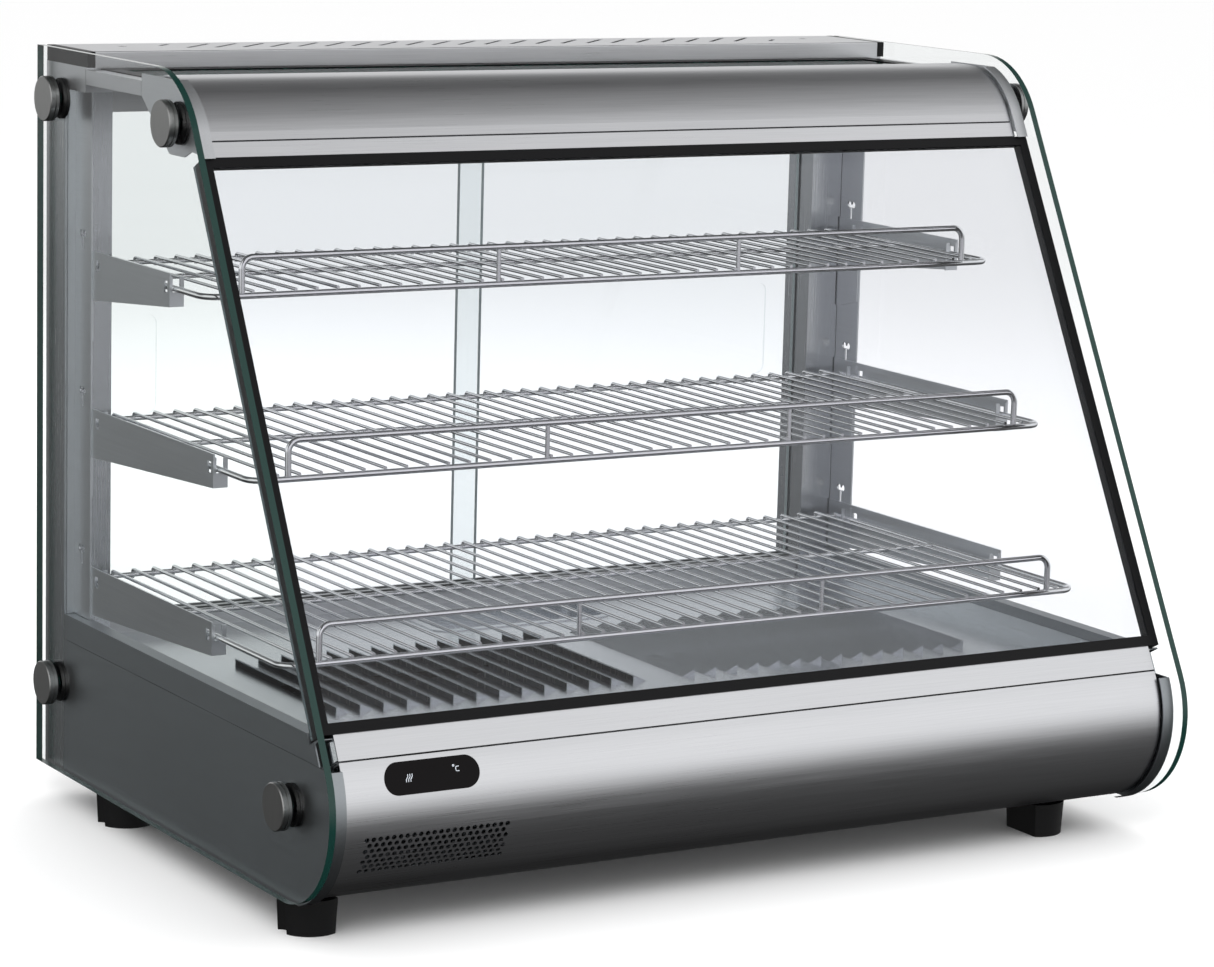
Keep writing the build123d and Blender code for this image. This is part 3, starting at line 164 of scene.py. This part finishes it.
def bright_metal(name, colour, rough):
    """Bright nickel-chrome plating: mirror-like, with faint ripples left by the plating bath."""
    material, tree = new_material(name)
    place = add(tree, "ShaderNodeTexCoord").outputs["Object"]
    ripple = add(tree, "ShaderNodeTexNoise", Vector=place, Scale=90.0, Detail=2.0).outputs["Fac"]
    matt = add(tree, "ShaderNodeMapRange", Value=ripple, To_Min=rough * 0.6, To_Max=rough * 1.4).outputs[0]
    bump = add(tree, "ShaderNodeBump", Strength=0.05, Distance=0.0005, Height=ripple).outputs[0]
    body = add(tree, "ShaderNodeBsdfPrincipled", Base_Color=linear(colour), Metallic=1.0, Roughness=matt,
               Normal=bump)
    finish_material(tree, body.outputs[0])
    return material


def moulded(name, colour, rough, grit, lift, gloss=0.5):
    """Moulded rubber or plastic: a fine even grit that softens the shine."""
    material, tree = new_material(name)
    place = add(tree, "ShaderNodeTexCoord").outputs["Object"]
    grain = add(tree, "ShaderNodeTexNoise", Vector=place, Scale=1000 / grit, Detail=2.0).outputs["Fac"]
    matt = add(tree, "ShaderNodeMapRange", Value=grain, To_Min=rough - 0.08, To_Max=rough + 0.08).outputs[0]
    bump = add(tree, "ShaderNodeBump", Strength=lift, Distance=0.0003, Height=grain).outputs[0]
    body = add(tree, "ShaderNodeBsdfPrincipled", Base_Color=linear(colour), Roughness=matt, Normal=bump,
               Specular_IOR_Level=gloss)
    finish_material(tree, body.outputs[0])
    return material


# Front panels: a soft satin band of light that runs along the curve, under fine crosswise brushing.
front_steel = brushed("stainless_brushed_front", "#E6E7EA", "#DDDEE1", 0.27, 0.9)
# Base sides and pan: a duller, slightly darker grey sheet; the darker grey is painted shade, standing in for
# the shade on the unlit left side.
side_steel_painted_shade = brushed("stainless_brushed_side_painted_shade", "#A9AEB2", "#A2A7AB", 0.34, 0.9, "Y")
# Posts and rear panel: upright brushing, so their light streaks stand rather than lie.
frame_steel = brushed("stainless_brushed_frame", "#D0D3D6", "#C6C9CC", 0.22, 0.9, "Z")
# Covers: slightly duller than the front panel, and painted a little darker as painted shade, so that the dark
# top of the curve reads.
cover_steel_painted_shade = brushed("stainless_brushed_cover_painted_shade", "#DEDFE2", "#D5D6D9", 0.28, 0.9)
# Deck and tray: smooth rolled sheet that mirrors the shelves in blurred patches.
deck_steel = brushed("stainless_rolled_deck", "#DDE1E4", "#D5D9DC", 0.22, 1.2, "Y", 0.02)
# Shelf uprights and brackets: bright sheet, pale and nearly even, with a soft sheen.
polished_steel = brushed("stainless_polished_bracket", "#E2E5E8", "#DADDE0", 0.28, 1.2, "Y", 0.02)
# Cheeks: flat pale plates, matt enough to stay an even light grey.
cheek_steel = brushed("stainless_matt_cheek", "#E0E2E5", "#D9DBDE", 0.42, 0.9, "Y", 0.02)
# Glass knobs: turned steel, darker than the panels, with a crisp bright edge.
knob_steel = brushed("stainless_turned_knob", "#A9AAA9", "#9FA09F", 0.28, 0.6, "Z")
# Wire shelves: mirror plating, which draws each round wire as a white line between dark edges.
chrome = bright_metal("chrome_plated_wire", "#F4F5F6", 0.07)
# Screws and studs: dull bluish plating, a small grey glint.
zinc = bright_metal("zinc_plated_screw", "#B0B2B4", 0.22)
# Door tracks: pale grey anodising, even and satin.
aluminium = brushed("aluminium_anodised", "#D0D2D3", "#C8CACB", 0.34, 0.9, "X", 0.02)
# Glazing spacer: black anodised strip, a dark satin line between the panes.
spacer_black = moulded("aluminium_black_anodised", "#121416", 0.45, 1.2, 0.05, 0.3)
# Seals and washers: deep black with a faint soft sheen, the dark outline of the glass.
seal_rubber = moulded("rubber_black_seal", "#08080A", 0.40, 1.5, 0.15, 0.2)
# Feet, switches and caps: moulded black with a fine grit that breaks up the highlights.
foot_plastic = moulded("nylon_black_moulded", "#0C0C0D", 0.42, 0.9, 0.3, 0.3)
# Display window: glossy black that mirrors the surroundings.
display_acrylic = moulded("acrylic_black_polished", "#080607", 0.12, 4.0, 0.0, 0.12)
# Display marks: pale printed ink, matt against the gloss of the window.
ink = moulded("ink_pale_printed", "#C8CED6", 0.55, 0.4, 0.0)
# Fan motor: baked black enamel, half gloss.
enamel = moulded("enamel_black_baked", "#161617", 0.35, 2.0, 0.1)
# Heater rods: heat-darkened brown-grey metal without a clear highlight.
sheath = brushed("incoloy_heat_darkened", "#5A5450", "#524B47", 0.45, 1.5)
SLOPE_OUT = (0.0, -math.cos(SLOPE), math.sin(SLOPE))
# Side glasses: clear faces, and a dark teal line wherever the cut edge shows.
side_pane = clear_pane("glass_side_toughened", (1.0, 0.0, 0.0), "#FBFCFC", "#0B2C27")
# Front glazing: the faint cool veil of two panes, with grey-green edges.
front_pane = clear_pane("glass_front_toughened", SLOPE_OUT, "#FBFBFC", "#4E585B", 0.55)
# Top glass: clear, with the same dark teal edge as the sides.
top_pane = clear_pane("glass_top_toughened", (0.0, 0.0, 1.0), "#FAFBFB", "#0D332C", 0.35)
# Door panes: clear, with a pale grey-green edge that draws the overlap of the doors.
door_pane = clear_pane("glass_door_toughened", (0.0, 1.0, 0.0), "#FAFCFC", "#8F999A", groove=0.333)

FINISHES = {
    front_steel: ["lower_front_panel", "lower_trim_strip", "upper_trim_strip"],
    cover_steel_painted_shade: ["upper_front_cover", "rear_top_cover", "top_side_bars", "rear_header"],
    side_steel_painted_shade: ["base_side_left", "base_side_right", "base_pan", "deck_rail_left", "deck_rail_right"],
    cheek_steel: ["upper_cheek_left", "upper_cheek_right"],
    frame_steel: ["rear_post_left", "rear_post_right", "rear_base_panel"],
    deck_steel: ["deck_panel", "water_tray", "lamp_housing"],
    polished_steel: ["shelf_upright_left", "shelf_upright_right", "shelf_brackets_upper",
                     "shelf_brackets_middle", "shelf_brackets_lower"],
    knob_steel: ["glass_knobs"],
    zinc: ["knob_studs", "screws"],
    aluminium: ["door_track_top", "door_track_bottom", "fan_rotor"],
    spacer_black: ["front_glass_spacer"],
    seal_rubber: ["front_glass_seal", "top_glass_border", "knob_washers"],
    foot_plastic: ["feet", "rear_cover_end_caps", "switch_bezel", "power_rocker", "lamp_rocker",
                   "thermostat_dial", "cable_gland"],
    display_acrylic: ["display_window"],
    enamel: ["fan_motor"],
    sheath: ["heating_elements"],
    side_pane: ["side_glass_left", "side_glass_right"],
    front_pane: ["front_glass_outer", "front_glass_inner"],
    top_pane: ["top_glass"],
    door_pane: ["rear_door_left", "rear_door_right"],
}
for material, names in FINISHES.items():
    for name in names:
        nodes[name].data.materials.clear()
        nodes[name].data.materials.append(material)


# ---- modelling helpers --------------------------------------------------------------------------
def start(name):
    """The newly added primitive, renamed, with its place in its mesh, open in edit mode."""
    piece = bpy.context.object
    piece.name = name
    piece.data.name = name
    bpy.ops.object.transform_apply(location=True, rotation=True, scale=True)
    bpy.ops.object.mode_set(mode="EDIT")
    return piece


def ring(name, place, facing, radius, sides):
    """Opens a new piece with one open ring of edges, square to facing."""
    bpy.ops.object.select_all(action="DESELECT")
    turn = Vector(facing).to_track_quat("Z", "Y").to_euler()
    bpy.ops.mesh.primitive_circle_add(vertices=sides, radius=radius, location=place, rotation=turn)
    piece = start(name)
    bpy.ops.mesh.select_all(action="SELECT")
    return piece


def push(step):
    bpy.ops.mesh.extrude_region_move(TRANSFORM_OT_translate={"value": tuple(step)})


def close(angle=40.0):
    """Caps open ends, turns the faces outwards, leaves edit mode and smooths the round faces."""
    bpy.ops.mesh.select_all(action="SELECT")
    bpy.ops.mesh.remove_doubles(threshold=1e-6)
    bpy.ops.mesh.fill_holes(sides=0)
    bpy.ops.mesh.select_all(action="SELECT")
    bpy.ops.mesh.normals_make_consistent(inside=False)
    bpy.ops.object.mode_set(mode="OBJECT")
    bpy.ops.object.shade_smooth_by_angle(angle=math.radians(angle))


def bent_bar(name, points, bend, diameter, sides=12, steps=6):
    """Round bar along straight runs, spun round each corner. Points and sizes in millimetres."""
    points = [Vector(p) * MM for p in points]
    bend *= MM
    first = (points[1] - points[0]).normalized()
    piece = ring(name, points[0], first, diameter / 2 * MM, sides)
    here = points[0]
    for before, corner, after in zip(points, points[1:], points[2:]):
        into, out = (corner - before).normalized(), (after - corner).normalized()
        turn = into.angle(out)
        cut = bend * math.tan(turn / 2)
        push(corner - into * cut - here)
        axis = into.cross(out).normalized()
        centre = corner - into * cut + axis.cross(into) * bend
        bpy.ops.mesh.spin(steps=steps, angle=-turn, center=centre, axis=axis)
        here = corner + out * cut
    push(points[-1] - here)
    close()
    return piece


def copies(piece, shifts):
    """The piece and its moved copies, joined into one object."""
    made = [piece]
    for shift in shifts:
        twin = piece.copy()
        twin.data = piece.data.copy()
        twin.data.transform(Matrix.Translation(Vector(shift) * MM))
        bpy.context.collection.objects.link(twin)
        made.append(twin)
    if len(made) == 1:
        return piece
    bpy.ops.object.select_all(action="DESELECT")
    for part in made:
        part.select_set(True)
    bpy.context.view_layer.objects.active = piece
    bpy.ops.object.join()
    return piece


def hand_over(piece, material, body, slot, *stands_for):
    piece.data.materials.clear()
    piece.data.materials.append(material)
    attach(piece, body)
    if stands_for:
        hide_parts(*stands_for)


# ---- wire shelves -------------------------------------------------------------------------------
def wire_shelf(level, front, z):
    """Front rod with side legs, cross rods, wires with bent-down tails, and the guard rail."""
    body = f"{level}_shelf"
    legs = [(-ROD_X, SHELF_BACK, z), (-ROD_X, front, z), (ROD_X, front, z), (ROD_X, SHELF_BACK, z)]
    outline = bent_bar(f"shelf_rod_{level}", legs, ROD_BEND, ROD_D, 16, 8)
    inner = ROD_X - ROD_D / 2 + WELD
    back = SHELF_BACK - CROSS_D / 2
    rear = bent_bar(f"shelf_cross_{level}", [(-inner, back, z), (inner, back, z)], 1, CROSS_D)
    copies(rear, [(0, front + CROSS_SHARE * (SHELF_BACK - front) - back, 0)])
    wire_z = z + ROD_D / 2 + WIRE_D / 2 - WELD
    tail = SHELF_BACK + WIRE_D / 2
    edge = -(WIRE_COUNT - 1) / 2 * WIRE_PITCH
    run = [(edge, front - ROD_D * 0.3, wire_z), (edge, tail, wire_z), (edge, tail, wire_z - WIRE_TAIL)]
    wires = bent_bar(f"shelf_wires_{level}", run, WIRE_BEND, WIRE_D, 10, 4)
    copies(wires, [(i * WIRE_PITCH, 0, 0) for i in range(1, WIRE_COUNT)])
    low = z + ROD_D / 2 - WELD
    top = z + RAIL_HEIGHT
    hoop = [(-RAIL_X, front, low), (-RAIL_X, front, top), (RAIL_X, front, top), (RAIL_X, front, low)]
    rail = bent_bar(f"guard_rail_{level}", hoop, RAIL_BEND, ROD_D, 16, 8)
    post = [(-RAIL_POST_X, front, low), (-RAIL_POST_X, front, top)]
    posts = bent_bar(f"guard_posts_{level}", post, 1, RAIL_POST_D)
    copies(posts, [(RAIL_POST_X * 2, 0, 0)])
    hand_over(outline, chrome, body, "chrome_wire", f"shelf_grid_{level}")
    hand_over(rear, chrome, body, "chrome_wire", f"shelf_grid_{level}")
    hand_over(wires, chrome, body, "chrome_wire", f"shelf_grid_{level}")
    hand_over(rail, chrome, body, "chrome_wire", f"shelf_rail_{level}")
    hand_over(posts, chrome, body, "chrome_wire", f"shelf_rail_{level}")


for level, (front, z) in SHELVES.items():
    wire_shelf(level, front, z)


# ---- display marks -----------------------------------------------------------------------------
def display_point(middle, across, up, lean):
    """A point on the display window, across and up from the middle of a mark, in millimetres."""
    x, y, z = middle
    return (x + across, y + up * math.sin(lean), z + up * math.cos(lean))


def display_mark(name, middle, lean, outline, bend, shifts=()):
    """Printed line on the display window, half sunk in it, with its sideways repeats."""
    path = [display_point(middle, across, up, lean) for across, up in outline]
    mark = bent_bar(name, path, bend, MARK_D, 8, 4)
    copies(mark, shifts)
    hand_over(mark, ink, "case", "display_black")


WAVE = [(-2.6, -3.2), (-2.5, -1.0), (-0.9, 1.0), (-0.8, 3.2)]
HOOK = [(2.6, 1.4), (-0.4, 1.4), (-0.4, -2.4), (2.6, -2.4)]
RINGLET = [(-1.6, 3.0), (-2.9, 3.0), (-2.9, 1.7), (-1.6, 1.7), (-1.6, 2.8)]
display_mark("heat_mark", HEAT_MARK, HEAT_LEAN, WAVE, 1.2, [(2.0, 0, 0), (4.0, 0, 0)])
display_mark("degree_letter", DEGREE_MARK, DEGREE_LEAN, HOOK, 1.3)
display_mark("degree_ring", DEGREE_MARK, DEGREE_LEAN, RINGLET, 0.5)


# ---- floor, light and camera --------------------------------------------------------------------
bpy.ops.object.select_all(action="DESELECT")
bpy.ops.mesh.primitive_plane_add(size=40, location=(0, 0, 0))
floor = bpy.context.object
floor.name = "studio_floor"
paper, tree = new_material("paper_pale")
matt_paper = add(tree, "ShaderNodeBsdfPrincipled", Base_Color=linear("#FBFBFB"), Roughness=1.0)
finish_material(tree, matt_paper.outputs[0])
floor.data.materials.append(paper)
floor.visible_glossy = False

world = bpy.data.worlds.new("studio")
bpy.context.scene.world = world
world.use_nodes = True
tree = world.node_tree
tree.nodes.clear()
direction = add(tree, "ShaderNodeTexCoord").outputs["Generated"]
split = add(tree, "ShaderNodeSeparateXYZ", Vector=direction)
height, depth = split.outputs["Z"], split.outputs["Y"]
level = add(tree, "ShaderNodeMapRange", Value=height, From_Min=-1.0, From_Max=1.0).outputs[0]
ramp = add(tree, "ShaderNodeValToRGB", Fac=level)
# What metal and glass mirror, from straight down to straight up: place on the ramp, and brightness.
SKY = [(0.0, 0.03), (0.32, 0.08), (0.44, 0.60), (0.52, 0.98), (0.80, 0.92), (0.90, 0.35), (1.0, 0.10)]
while len(ramp.color_ramp.elements) < len(SKY):
    ramp.color_ramp.elements.new(0.5)
for stop, (where, shade) in zip(ramp.color_ramp.elements, SKY):
    stop.position = where
    stop.color = (shade, shade, shade, 1)
# Behind the case that sky is darker high up and below the horizon.
behind = add(tree, "ShaderNodeMapRange", Value=depth, From_Min=0.0, From_Max=0.4).outputs[0]
high = add(tree, "ShaderNodeMapRange", Value=height, From_Min=0.2, From_Max=0.5, To_Max=0.85).outputs[0]
low = add(tree, "ShaderNodeMapRange", Value=height, From_Min=0.0, From_Max=-0.12, To_Max=0.7).outputs[0]
away = add(tree, "ShaderNodeMath", {"operation": "MAXIMUM"}, s0=high, s1=low).outputs[0]
shaded = add(tree, "ShaderNodeMath", {"operation": "MULTIPLY"}, s0=behind, s1=away).outputs[0]
power = add(tree, "ShaderNodeMath", {"operation": "MULTIPLY_ADD"}, s0=shaded, s1=-1.0, s2=1.0).outputs[0]
path = add(tree, "ShaderNodeLightPath").outputs
mirrored = add(tree, "ShaderNodeBackground", Color=ramp.outputs[0], Strength=power).outputs[0]
ambient = add(tree, "ShaderNodeBackground", Color=(1, 1, 1, 1), Strength=1.05).outputs[0]
white = add(tree, "ShaderNodeBackground", Color=(1, 1, 1, 1), Strength=1.0).outputs[0]
around = add(tree, "ShaderNodeMixShader", s0=path["Is Glossy Ray"], s1=ambient, s2=mirrored).outputs[0]
sky = add(tree, "ShaderNodeMixShader", s0=path["Is Camera Ray"], s1=around, s2=white).outputs[0]
add(tree, "ShaderNodeOutputWorld", Surface=sky)


def softbox(name, place, target, size, power):
    bpy.ops.object.light_add(type="AREA", location=place)
    lamp = bpy.context.object
    lamp.name = name
    lamp.data.size = size
    lamp.data.energy = power
    lamp.visible_glossy = False
    lamp.rotation_euler = (Vector(target) - Vector(place)).to_track_quat("-Z", "Y").to_euler()


softbox("key_light", (-2.2, -2.4, 2.6), (0, 0, 0.3), 1.8, 60)
softbox("fill_light", (2.6, -1.6, 1.8), (0, 0, 0.3), 1.6, 30)
softbox("back_light", (0.6, 2.4, 2.2), (0, 0, 0.3), 1.8, 25)

# The camera solved from the photo: its place in metres, its turn in radians, its lens in millimetres.
CAMERA_PLACE = (-1.78886, -3.00439, 0.93273)
LENS, SENSOR = 117.42, 36.0
azimuth, elevation, roll = -0.535845, 0.176198, 0.0273358
level_back = Vector((math.sin(azimuth), -math.cos(azimuth), 0))
back = level_back * math.cos(elevation) + Vector((0, 0, math.sin(elevation)))
right = Vector((0, 0, 1)).cross(back).normalized()
up = back.cross(right)
across = math.cos(roll) * right + math.sin(roll) * up
upward = math.cos(roll) * up - math.sin(roll) * right
turn = Matrix((across, upward, back)).transposed().to_4x4()
camera = bpy.data.objects.new("camera", bpy.data.cameras.new("camera"))
bpy.context.collection.objects.link(camera)
camera.matrix_world = Matrix.Translation(CAMERA_PLACE) @ turn
camera.data.sensor_width = SENSOR
camera.data.lens = LENS
bpy.context.scene.camera = camera
bpy.context.scene.view_settings.view_transform = "Standard"
